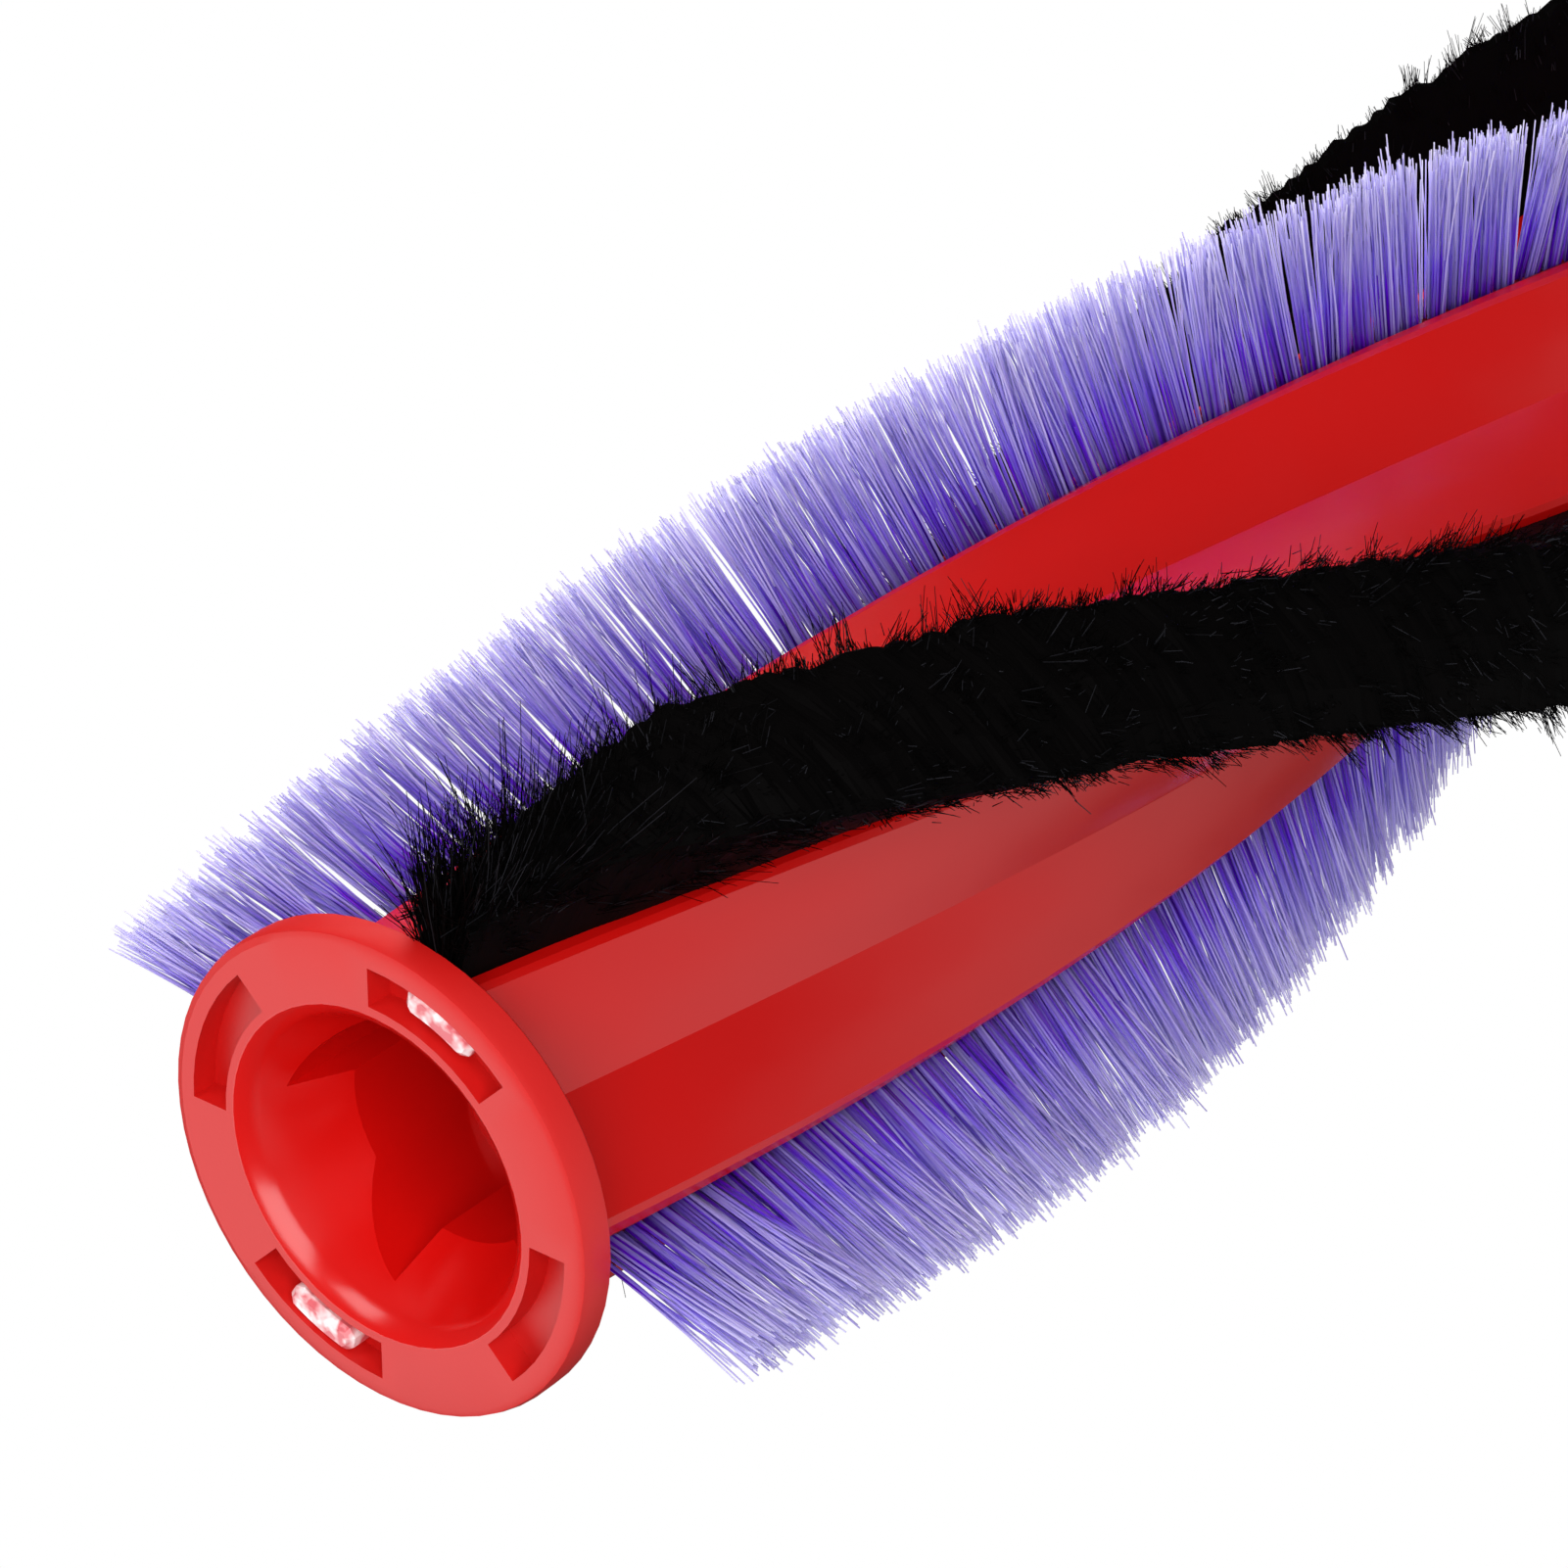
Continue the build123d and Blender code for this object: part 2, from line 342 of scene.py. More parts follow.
@dataclass(frozen=True)
class NylonFilament:
    """Drawn nylon 6 monofilament, clear-bodied: painted shade darkens it at the root among the
    packed filaments, and painted light, shining through it, pales it towards the tips.
    """

    name: str = "Violet nylon filament"
    painted_shade_root_colour: str = "#4a1f98"
    middle_colour: str = "#785aec"
    painted_light_tip_colour: str = "#bdb4fd"
    middle_place: float = 0.35
    value_range: tuple[float, float] = (0.75, 1.25)
    saturation_range: tuple[float, float] = (1.2, 0.75)
    roughness: float = 0.26
    ior: float = 1.53
    clarity: float = 0.6
    depth_mm: float = 0.5

    def build(self) -> bpy.types.Material:
        """Make the material.

        Returns:
            The finished material.
        """
        material, tree, shader = new_material(self.name)
        along = add_node(tree, "ShaderNodeAttribute", {"attribute_name": ALONG})
        tint = add_node(tree, "ShaderNodeAttribute", {"attribute_name": TINT})
        # Painted shade and light: the colour runs from a shaded dark root, through the violet of
        # the nylon itself, to a pale lit tip.
        ramp = add_node(tree, "ShaderNodeValToRGB", inputs={0: along.outputs["Fac"]})
        set_ramp(
            ramp,
            {
                0.0: hex_to_linear(self.painted_shade_root_colour),
                self.middle_place: hex_to_linear(self.middle_colour),
                1.0: hex_to_linear(self.painted_light_tip_colour),
            },
        )
        value = add_node(
            tree,
            "ShaderNodeMapRange",
            inputs={0: tint.outputs["Fac"], 3: self.value_range[0], 4: self.value_range[1]},
        )
        saturation = add_node(
            tree,
            "ShaderNodeMapRange",
            inputs={
                0: tint.outputs["Fac"],
                3: self.saturation_range[0],
                4: self.saturation_range[1],
            },
        )
        shade = add_node(
            tree,
            "ShaderNodeHueSaturation",
            inputs={
                "Saturation": saturation.outputs[0],
                "Value": value.outputs[0],
                "Color": ramp.outputs["Color"],
            },
        )
        tree.links.new(shade.outputs[0], shader.inputs["Base Color"])
        shader.inputs["Roughness"].default_value = self.roughness
        shader.inputs["IOR"].default_value = self.ior
        shader.inputs["Subsurface Weight"].default_value = self.clarity
        shader.inputs["Subsurface Radius"].default_value = (1, 1, 1)
        shader.inputs["Subsurface Scale"].default_value = self.depth_mm * MM
        return material


@dataclass(frozen=True)
class SoftPile:
    """Fine black carbon-loaded fibre that swallows light, with a few fibres painted grey as a
    painted glint.
    """

    name: str = "Black carbon-fibre pile"
    dark_colour: str = "#040303"
    painted_glint_colour: str = "#2c2c31"
    glint_from: float = 0.8
    roughness: float = 0.7
    specular: float = 0.04

    def build(self) -> bpy.types.Material:
        """Make the material.

        Returns:
            The finished material.
        """
        material, tree, shader = new_material(self.name)
        tint = add_node(tree, "ShaderNodeAttribute", {"attribute_name": TINT})
        # Painted glint: the palest fifth of the fibres are painted from black up to grey.
        ramp = add_node(tree, "ShaderNodeValToRGB", inputs={0: tint.outputs["Fac"]})
        set_ramp(
            ramp,
            {
                0.0: hex_to_linear(self.dark_colour),
                self.glint_from: hex_to_linear(self.dark_colour),
                1.0: hex_to_linear(self.painted_glint_colour),
            },
        )
        tree.links.new(ramp.outputs["Color"], shader.inputs["Base Color"])
        shader.inputs["Roughness"].default_value = self.roughness
        shader.inputs["Specular IOR Level"].default_value = self.specular
        return material


@dataclass(frozen=True)
class WovenTape:
    """Black woven polyester tape: dull, with a fine plain weave."""

    name: str = "Black woven tape"
    colour: str = "#0c0c0d"
    roughness: float = 0.85
    thread_mm: float = 0.5
    thread_depth_mm: float = 0.1
    weave_strength: float = 0.5

    def build(self) -> bpy.types.Material:
        """Make the material.

        Returns:
            The finished material.
        """
        material, tree, shader = new_material(self.name)
        coords = add_node(tree, "ShaderNodeTexCoord").outputs["Object"]
        weave = add_node(
            tree,
            "ShaderNodeTexWave",
            {"bands_direction": "Z"},
            {
                "Vector": coords,
                "Scale": pattern_scale(self.thread_mm) / (2 * math.pi),
                "Distortion": 1.0,
            },
        )
        bump = add_node(
            tree,
            "ShaderNodeBump",
            inputs={
                "Strength": self.weave_strength,
                "Distance": self.thread_depth_mm * MM,
                "Height": weave.outputs["Fac"],
            },
        )
        tree.links.new(bump.outputs[0], shader.inputs["Normal"])
        shader.inputs["Base Color"].default_value = hex_to_linear(self.colour)
        shader.inputs["Roughness"].default_value = self.roughness
        return material


@dataclass(frozen=True)
class SinteredBronze:
    """Oil-filled sintered bronze: a dull brown metal with fine open pores."""

    name: str = "Sintered bronze"
    colour: str = "#a87b45"
    roughness: float = 0.38
    pore_mm: float = 0.15
    pore_depth_mm: float = 0.03
    pore_strength: float = 0.3

    def build(self) -> bpy.types.Material:
        """Make the material.

        Returns:
            The finished material.
        """
        material, tree, shader = new_material(self.name)
        coords = add_node(tree, "ShaderNodeTexCoord").outputs["Object"]
        pores = add_node(
            tree,
            "ShaderNodeTexVoronoi",
            inputs={"Vector": coords, "Scale": pattern_scale(self.pore_mm)},
        )
        bump = add_node(
            tree,
            "ShaderNodeBump",
            inputs={
                "Strength": self.pore_strength,
                "Distance": self.pore_depth_mm * MM,
                "Height": pores.outputs["Distance"],
            },
        )
        tree.links.new(bump.outputs[0], shader.inputs["Normal"])
        shader.inputs["Base Color"].default_value = hex_to_linear(self.colour)
        shader.inputs["Metallic"].default_value = 1.0
        shader.inputs["Roughness"].default_value = self.roughness
        return material


@dataclass(frozen=True)
class ClearAdhesive:
    """Hot-melt adhesive set hard: milky clear with a wet shine. The red behind it is painted in as
    its pink, and its near-white swirls are painted highlights.
    """

    name: str = "Clear hot-melt adhesive"
    painted_see_through_colour: str = "#dd6a72"
    painted_highlight_colour: str = "#fde9ea"
    see_through_place: float = 0.45
    highlight_place: float = 0.62
    roughness: float = 0.08
    ior: float = 1.48
    swirl_mm: float = 1.2
    swirl_depth_mm: float = 0.3
    swirl_strength: float = 0.6

    def build(self) -> bpy.types.Material:
        """Make the material.

        Returns:
            The finished material.
        """
        material, tree, shader = new_material(self.name)
        coords = add_node(tree, "ShaderNodeTexCoord").outputs["Object"]
        swirl = add_node(
            tree,
            "ShaderNodeTexNoise",
            inputs={"Vector": coords, "Scale": pattern_scale(self.swirl_mm), "Detail": 2.0},
        )
        bump = add_node(
            tree,
            "ShaderNodeBump",
            inputs={
                "Strength": self.swirl_strength,
                "Distance": self.swirl_depth_mm * MM,
                "Height": swirl.outputs["Fac"],
            },
        )
        # Painted highlights: the swirl noise paints near-white streaks over the pink, which is the
        # red body seen through the glue, painted in.
        ramp = add_node(tree, "ShaderNodeValToRGB", inputs={0: swirl.outputs["Fac"]})
        set_ramp(
            ramp,
            {
                self.see_through_place: hex_to_linear(self.painted_see_through_colour),
                self.highlight_place: hex_to_linear(self.painted_highlight_colour),
            },
        )
        tree.links.new(ramp.outputs["Color"], shader.inputs["Base Color"])
        tree.links.new(bump.outputs[0], shader.inputs["Normal"])
        shader.inputs["Roughness"].default_value = self.roughness
        shader.inputs["IOR"].default_value = self.ior
        return material


@dataclass(frozen=True)
class StudioPaper:
    """Seamless white background paper, bright enough to lose its own shadows."""

    name: str = "White background paper"
    colour: str = "#ffffff"

    def build(self) -> bpy.types.Material:
        """Make the material.

        Returns:
            The finished material.
        """
        material, _, shader = new_material(self.name)
        shader.inputs["Base Color"].default_value = (0, 0, 0, 1)
        shader.inputs["Specular IOR Level"].default_value = 0.0
        shader.inputs["Emission Color"].default_value = hex_to_linear(self.colour)
        shader.inputs["Emission Strength"].default_value = 1.0
        return material


@dataclass(frozen=True)
class Twist:
    """The roller's right-hand helix about +Z, which is at angle zero at the throat's face.

    Attributes:
        length: Height of the throat's face, in metres.
        rate: Turn in degrees for each millimetre of height.
    """

    length: float
    rate: float = 0.656

    def angle(self, height: float, start: float) -> float:
        """Angle in radians, at a height, of the strip that starts at an angle in degrees."""
        return math.radians(start + self.rate * (height - self.length) / MM)

    def axes(self, height: float, start: float) -> tuple[Vector, Vector]:
        """Outward and sideways directions of a strip at a height.

        Args:
            height: Height above the roller's foot, in metres.
            start: The strip's angle at the throat, in degrees.

        Returns:
            The unit vectors away from the axis and along the turn.
        """
        turn = self.angle(height, start)
        out = Vector((math.cos(turn), math.sin(turn), 0))
        side = Vector((-math.sin(turn), math.cos(turn), 0))
        return out, side


@dataclass
class Filament:
    """One bristle or fibre, as a thin tapered three-sided rod.

    Attributes:
        root: Where it leaves its strip.
        tip: Where it would end if it were straight.
        bend: How far its tip is pushed aside.
        radius: Half its thickness at the root.
        tint: Shade from 0, dark, to 1, light.
    """

    root: Vector
    tip: Vector
    bend: Vector
    radius: float
    tint: float

    def grow(self, bm: bmesh.types.BMesh, taper: float = 0.6) -> None:
        """Add the rod to a mesh that has the filament attributes.

        Args:
            bm: Mesh to add to.
            taper: Thickness at the tip as a share of the root's.
        """
        run = self.tip - self.root
        turn = run.to_track_quat("Z", "Y").to_matrix().to_4x4()
        place = Matrix.Translation((self.root + self.tip) / 2) @ turn
        made = bmesh.ops.create_cone(
            bm,
            cap_ends=True,
            cap_tris=False,
            segments=3,
            radius1=self.radius,
            radius2=self.radius * taper,
            depth=run.length,
            matrix=place,
        )
        along = bm.verts.layers.float[ALONG]
        tint = bm.verts.layers.float[TINT]
        bend = bm.verts.layers.float_vector[BEND]
        for vert in made["verts"]:
            vert[along] = 1.0 if (vert.co - self.root).dot(run) > run.length_squared / 2 else 0.0
            vert[tint] = self.tint
            vert[bend] = self.bend


@dataclass
class FilamentMesh:
    """A mesh of many filaments, made in short batches because long ones are slow.

    Attributes:
        name: Name of the finished object.
        cuts: Cuts along a filament, which let it curve.
        batch: Filaments made at a time.
        filaments: All the filaments.
    """

    name: str
    cuts: int
    batch: int = 400
    filaments: list[Filament] = field(default_factory=list)

    def build(self, material: bpy.types.Material) -> bpy.types.Object:
        """Grow all the filaments and join them into one object.

        Args:
            material: Finish of the filaments.

        Returns:
            The object, in the scene, at the origin.
        """
        parts = []
        for first in range(0, len(self.filaments), self.batch):
            parts.append(self._batch(self.filaments[first : first + self.batch]))
        piece = parts[0]
        with bpy.context.temp_override(active_object=piece, selected_editable_objects=parts):
            bpy.ops.object.join()
        piece.name = self.name
        piece.data.name = self.name
        piece.data.materials.append(material)
        return piece

    def _batch(self, filaments: list[Filament]) -> bpy.types.Object:
        """Make one object of a few filaments, cut along their length and bent.

        Args:
            filaments: The filaments of the batch.

        Returns:
            The object, in the scene.
        """
        bm = bmesh.new()
        along = bm.verts.layers.float.new(ALONG)
        bm.verts.layers.float.new(TINT)
        bend = bm.verts.layers.float_vector.new(BEND)
        for filament in filaments:
            filament.grow(bm)
        if self.cuts:
            sides = [edge for edge in bm.edges if edge.verts[0][along] != edge.verts[1][along]]
            bmesh.ops.subdivide_edges(bm, edges=sides, cuts=self.cuts)
        for vert in bm.verts:
            vert.co += vert[bend] * vert[along] ** 2
        bm.verts.layers.float_vector.remove(bend)
        return place_mesh(bm, self.name)


@dataclass
class TuftRow:
    """One row of stiff tufts, each a bundle of nylon filaments that flares towards its tips.

    Attributes:
        node: CAD node that the row replaces.
        name: Name of the finished piece.
        start: The row's angle at the throat, in degrees.
        seed: Seed of the row's own unevenness.
        count: Filaments in a tuft.
        pitch: Distance between two tufts along the roller.
        half_tuft: Half a tuft's width, which the CAD row has beyond its last tuft's middle.
        trim: How far the filaments' mean reach stays under tip_distance.
        unevenness: Spread of the filaments' lengths.
        lean_aside: Spread of the tufts' lean along the turn.
        lean_along: Spread of the tufts' lean along the roller.
        bend_aside: Spread of the filaments' bend along the turn.
        bend_along: Spread of the filaments' bend along the roller.
    """

    node: str
    name: str
    start: float
    seed: int
    count: int = 60
    pitch: float = 2.6 * MM
    half_tuft: float = 1.2 * MM
    root_distance: float = 13.1 * MM
    tip_distance: float = 25.9 * MM
    root_spread: float = 0.95 * MM
    tip_spread: float = 1.4 * MM
    radius: float = 0.1 * MM
    trim: float = 0.3 * MM
    unevenness: float = 0.55 * MM
    lean_aside: float = 0.45 * MM
    lean_along: float = 0.28 * MM
    bend_aside: float = 0.4 * MM
    bend_along: float = 0.35 * MM

    def build(self, twist: Twist, material: bpy.types.Material) -> bpy.types.Object:
        """Grow the row and put it in the CAD tufts' place.

        Args:
            twist: The roller's helix.
            material: Finish of the filaments.

        Returns:
            The finished piece.
        """
        rng = random.Random(self.seed)
        low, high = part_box(self.node)
        first = low[2] + self.half_tuft
        tufts = round((high[2] - low[2] - 2 * self.half_tuft) / self.pitch) + 1
        rods = FilamentMesh(self.name, cuts=2)
        for index in range(tufts):
            rods.filaments += self._tuft(twist, first + index * self.pitch, rng)
        piece = rods.build(material)
        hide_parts(self.node)
        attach(piece, ROOT_BODY)
        return piece

    def _tuft(self, twist: Twist, height: float, rng: random.Random) -> list[Filament]:
        """Place the filaments of one tuft.

        Args:
            twist: The roller's helix.
            height: Height of the tuft's middle, in metres.
            rng: The row's own random numbers.

        Returns:
            The tuft's filaments.
        """
        out, side = twist.axes(height, self.start)
        lift = UP * height
        lean = side * rng.gauss(0, self.lean_aside) + UP * rng.gauss(0, self.lean_along)
        filaments = []
        for _ in range(self.count):
            angle = rng.uniform(0, 2 * math.pi)
            share = math.sqrt(rng.random())
            spoke = side * math.cos(angle) + UP * math.sin(angle)
            root = out * self.root_distance + spoke * share * self.root_spread
            reach = self.tip_distance - self.trim + rng.gauss(0, self.unevenness)
            tip = out * reach + spoke * share * self.tip_spread + lean
            bend = side * rng.gauss(0, self.bend_aside) + UP * rng.gauss(0, self.bend_along)
            filaments.append(Filament(root + lift, tip + lift, bend, self.radius, rng.random()))
        return filaments


@dataclass(frozen=True)
class ClumpHabit:
    """How the fibres of one clump of pile stand together, stray and curl.

    Attributes:
        outward_stray: How far a clump at the core's edge leans out over it.
        stray_aside: Spread of a clump's lean along the turn.
        stray_along: Spread of a clump's lean along the roller.
        curl: Spread of a clump's curl, as a share of its reach.
        half_length: Spread of the fibres' roots along the roller.
        half_width: Spread of the fibres' roots across it, as a share of the core's half width.
        jitter: Spread of the fibres' own directions.
        fan_step: Step outward that finds the way the pile fans out, as a share of its reach.
        length_range: Shortest and longest fibre, as shares of the clump's reach.
        curl_range: Least and most curled fibre, as shares of the clump's curl.
    """

    outward_stray: float = 0.35
    stray_aside: float = 0.25
    stray_along: float = 0.3
    curl: float = 0.3
    half_length: float = 0.5 * MM
    half_width: float = 0.06
    jitter: float = 0.22
    fan_step: float = 0.1
    length_range: tuple[float, float] = (0.45, 1.0)
    curl_range: tuple[float, float] = (0.3, 1.3)


@dataclass
class PileStrip:
    """One strip of soft pile: a dense dark core under a coat of fine loose fibres.

    The pile is thin at its throat end, and leans back against the turn further along.

    Attributes:
        node: CAD node that the strip replaces.
        name: Name of the finished piece.
        start: The strip's angle at the throat, in degrees.
        seed: Seed of the strip's own unevenness.
        clumps: Number of clumps in the short fuzz.
        end_clumps: Number of clumps of long fibres at the throat end.
        hairs: Fibres in a clump.
        habit: How the fibres of a clump stand together.
        crown: How much lower the pile is at its edges than in its middle.
        core_inset: How far the core stays under the pile's full reach.
        wave: Height of the pile's waves, which are wave_length and ruffle_length long.
        wave_across: How fast the waves change across the half width.
        thin_length: Length over which the throat end thickens to the full pile.
        thin_share: Share of the full pile at that end.
        most_lean: How far the tips lean back once they are lean_depth below the throat.
        end_splay: How near the strip's ends fibres fall outward past them, and how far.
        end_round: Length over which the core rises to its full reach at both ends.
        end_share: Share of that reach at the ends themselves.
        usual_hair: Mean of what a clump of fuzz adds to shortest_hair.
        fuzz_wildness: How far the short fibres stray.
        end_wildness: How far the long fibres at the throat end stray.
        end_gather: Power that gathers the long fibres towards the throat.
        end_outward: Where the long fibres leave the core, as shares of its reach.
        end_aside: The same, as shares of its half width.
        end_reach: Shortest and longest of them, as shares of the pile's reach.
        end_seed_step: Step from the strip's seed to that of its long fibres.
    """

    node: str
    name: str
    start: float
    seed: int
    clumps: int = 2400
    end_clumps: int = 210
    hairs: int = 10
    habit: ClumpHabit = ClumpHabit()
    root_distance: float = 12.8 * MM
    tip_distance: float = 25.7 * MM
    crown: float = 1.6 * MM
    half_root: float = 1.25 * MM
    half_tip: float = 6.6 * MM
    radius: float = 0.045 * MM
    core_inset: float = 0.3 * MM
    core_rings: int = 420
    wave: float = 0.45 * MM
    wave_length: float = 4 * MM
    ruffle_length: float = 1.3 * MM
    wave_across: float = 1.5
    thin_length: float = 22 * MM
    thin_share: float = 0.42
    most_lean: float = 5.5 * MM
    lean_depth: float = 124 * MM
    end_splay: float = 3.0 * MM
    end_round: float = 6.0 * MM
    end_share: float = 0.7
    shortest_hair: float = 0.5 * MM
    usual_hair: float = MM / 1.3
    longest_hair: float = 3.0 * MM
    fuzz_wildness: float = 1.0
    end_wildness: float = 0.35
    end_gather: float = 1.6
    end_outward: tuple[float, float] = (0.0, 0.3)
    end_aside: tuple[float, float] = (-0.45, 0.9)
    end_reach: tuple[float, float] = (0.7, 1.05)
    end_seed_step: int = 100

    def build(self, twist: Twist, material: bpy.types.Material) -> list[bpy.types.Object]:
        """Grow the strip and put it in the CAD pile's place.

        Args:
            twist: The roller's helix.
            material: Finish of the fibres.

        Returns:
            The core, its fuzz and the long fibres at its throat end.
        """
        low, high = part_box(self.node)
        core = self._core(twist, low[2], high[2], material)
        fuzz = self._fuzz(twist, low[2], high[2], material)
        end = self._end(twist, low[2], high[2], material)
        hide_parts(self.node)
        for piece in (core, fuzz, end):
            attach(piece, ROOT_BODY)
        return [core, fuzz, end]

    def _fullness(self, height: float, high: float) -> float:
        """Share of the full pile, which grows smoothly from thin at the throat end to one."""
        share = min(1.0, max(0.0, (high - height) / self.thin_length))
        return self.thin_share + (1 - self.thin_share) * share * share * (3 - 2 * share)

    def _point(
        self, twist: Twist, height: float, fullness: float, outward: float, aside: float
    ) -> Vector:
        """Place a point of the pile.

        Args:
            twist: The roller's helix.
            height: Height above the roller's foot, in metres.
            fullness: Share of the full pile's width there.
            outward: Share of the way from root to tip.
            aside: Share of the half width, from -1 to 1.

        Returns:
            The point, leaning back as the pile does.
        """
        out, side = twist.axes(height, self.start)
        lean = self.most_lean * min(1.0, (twist.length - height) / self.lean_depth) ** 2
        wave = self.wave * sum(
            noise.noise(Vector((height / size, self.seed, aside * self.wave_across)))
            for size in (self.wave_length, self.ruffle_length)
        )
        reach = self.tip_distance - self.crown * aside * aside - self.root_distance + wave
        half = self.half_root + (self.half_tip * fullness + wave - self.half_root) * outward
        across = half * aside - lean * outward * outward
        return out * (self.root_distance + reach * outward) + side * across + UP * height

    def _core_share(self, height: float, low: float, high: float) -> float:
        """Find how far the dense core reaches at a height.

        Args:
            height: Height above the roller's foot, in metres.
            low: Foot of the strip.
            high: Top of the strip.

        Returns:
            Share of the way from root to tip, less towards both ends.
        """
        rim = 1 - self.core_inset / (self.tip_distance - self.root_distance)
        inside = min(1.0, max(0.0, min(high - height, height - low) / self.end_round))
        rounding = self.end_share + (1 - self.end_share) * inside
        return rim * math.sqrt(self._fullness(height, high)) * rounding

    def _core(
        self, twist: Twist, low: float, high: float, material: bpy.types.Material
    ) -> bpy.types.Object:
        """Roll a grid up into the pile's dense middle, closed along its root and at its ends.

        Args:
            twist: The roller's helix.
            low: Foot of the strip.
            high: Top of the strip.
            material: Finish of the fibres.

        Returns:
            The core.
        """
        outline = [(out, -aside) for out, aside in CORE_SIDE]
        outline += [CORE_CROWN, *reversed(CORE_SIDE)]
        columns = len(outline) - 1
        bm = bmesh.new()
        bmesh.ops.create_grid(bm, x_segments=columns, y_segments=self.core_rings, size=1.0)
        rim = [edge for edge in bm.edges if edge.is_boundary]
        nearly_one = 0.995
        roots = [edge for edge in rim if all(abs(vert.co.x) > nearly_one for vert in edge.verts)]
        bmesh.ops.bridge_loops(bm, edges=roots)
        bmesh.ops.holes_fill(bm, edges=[edge for edge in bm.edges if edge.is_boundary], sides=0)
        for vert in bm.verts:
            outward, aside = outline[round((vert.co.x + 1) / 2 * columns)]
            place = low + (vert.co.y + 1) / 2 * (high - low)
            share = outward * self._core_share(place, low, high)
            vert.co = self._point(twist, place, self._fullness(place, high), share, aside)
        bmesh.ops.recalc_face_normals(bm, faces=bm.faces)
        core = place_mesh(bm, self.name + "_core")
        core.data.materials.append(material)
        return core

    def _fuzz(
        self, twist: Twist, low: float, high: float, material: bpy.types.Material
    ) -> bpy.types.Object:
        """Grow the short fibres that soften the core's outline, most of them along its edges.

        A seat is a share of the core's reach and a share of its half width.

        Args:
            twist: The roller's helix.
            low: Foot of the strip.
            high: Top of the strip.
            material: Finish of the fibres.

        Returns:
            The fuzz.
        """
        rng = random.Random(self.seed)
        rods = FilamentMesh(self.name + "_fuzz", cuts=0)
        for _ in range(self.clumps):
            edge = rng.choice((-1, 1))
            shoulder = (rng.uniform(0.75, 0.98), edge * 0.95)
            rim = (0.96, edge * rng.uniform(0.8, 0.95))
            crown = (0.98, rng.uniform(-0.8, 0.8))
            flank = (rng.uniform(0.3, 1.0), edge * 0.95)
            seat = rng.choice((shoulder, rim, crown, flank))
            length = self.shortest_hair + rng.expovariate(1 / self.usual_hair)
            reach = min(self.longest_hair, length)
            heights = (low, rng.uniform(low, high), high)
            rods.filaments += self._clump(twist, heights, seat, reach, self.fuzz_wildness, rng)
        return rods.build(material)

    def _end(
        self, twist: Twist, low: float, high: float, material: bpy.types.Material
    ) -> bpy.types.Object:
        """Grow the long curled fibres of the thin throat end.

        Args:
            twist: The roller's helix.
            low: Foot of the strip.
            high: Top of the strip.
            material: Finish of the fibres.

        Returns:
            The long fibres.
        """
        rng = random.Random(self.seed + self.end_seed_step)
        rods = FilamentMesh(self.name + "_end", cuts=2)
        for _ in range(self.end_clumps):
            heights = (low, high - self.thin_length * rng.random() ** self.end_gather, high)
            seat = (rng.uniform(*self.end_outward), rng.uniform(*self.end_aside))
            reach = (self.tip_distance - self.root_distance) * rng.uniform(*self.end_reach)
            rods.filaments += self._clump(twist, heights, seat, reach, self.end_wildness, rng)
        return rods.build(material)

    def _clump(
        self,
        twist: Twist,
        heights: tuple[float, float, float],
        seat: tuple[float, float],
        reach: float,
        wildness: float,
        rng: random.Random,
    ) -> list[Filament]:
        """Grow one clump of fibres that stand out of the core and curl one way.

        Args:
            twist: The roller's helix.
            heights: Foot of the strip, middle of the clump and top of the strip.
            seat: Where the clump leaves the core: share of the core's reach, and share of its
                half width, from -1 to 1.
            reach: Length of its longest fibres.
            wildness: How far the fibres stray from the way the pile fans out.
            rng: The strip's own random numbers.

        Returns:
            The clump's fibres.
        """
        low, middle, high = heights
        outward, across = seat
        habit = self.habit
        side = twist.axes(middle, self.start)[1]
        stray = side * rng.gauss(habit.outward_stray * across, habit.stray_aside)
        stray = (stray + UP * rng.gauss(0, habit.stray_along)) * wildness
        curl = side * rng.gauss(0, habit.curl) + UP * rng.gauss(0, habit.curl)
        curl = curl * reach * wildness
        splay = UP * self._splay(middle, low, high) * rng.random()
        filaments = []
        for _ in range(self.hairs):
            height = min(high, max(low, middle + rng.gauss(0, habit.half_length)))
            aside = across + rng.gauss(0, habit.half_width)
            fullness = self._fullness(height, high)
            share = outward * self._core_share(height, low, high)
            root = self._point(twist, height, fullness, share, aside)
            ahead = self._point(twist, height, fullness, share + habit.fan_step, aside)
            fan = (ahead - root).normalized()
            jitter = side * rng.gauss(0, habit.jitter) + UP * rng.gauss(0, habit.jitter)
            way = (fan + stray + jitter * wildness).normalized()
            tip = root + way * reach * rng.uniform(*habit.length_range) + splay
            bend = curl * rng.uniform(*habit.curl_range)
            filaments.append(Filament(root, tip, bend, self.radius, rng.random()))
        return filaments

    def _splay(self, height: float, low: float, high: float) -> float:
        """Find how far a fibre's tip falls outward past the strip's own end.

        Args:
            height: Height of its root above the roller's foot, in metres.
            low: Foot of the strip.
            high: Top of the strip.

        Returns:
            The distance, upward near the top and downward near the foot.
        """
        near_top = max(0.0, 1 - (high - height) / self.end_splay)
        near_foot = max(0.0, 1 - (height - low) / self.end_splay)
        return self.end_splay * (near_top - near_foot)


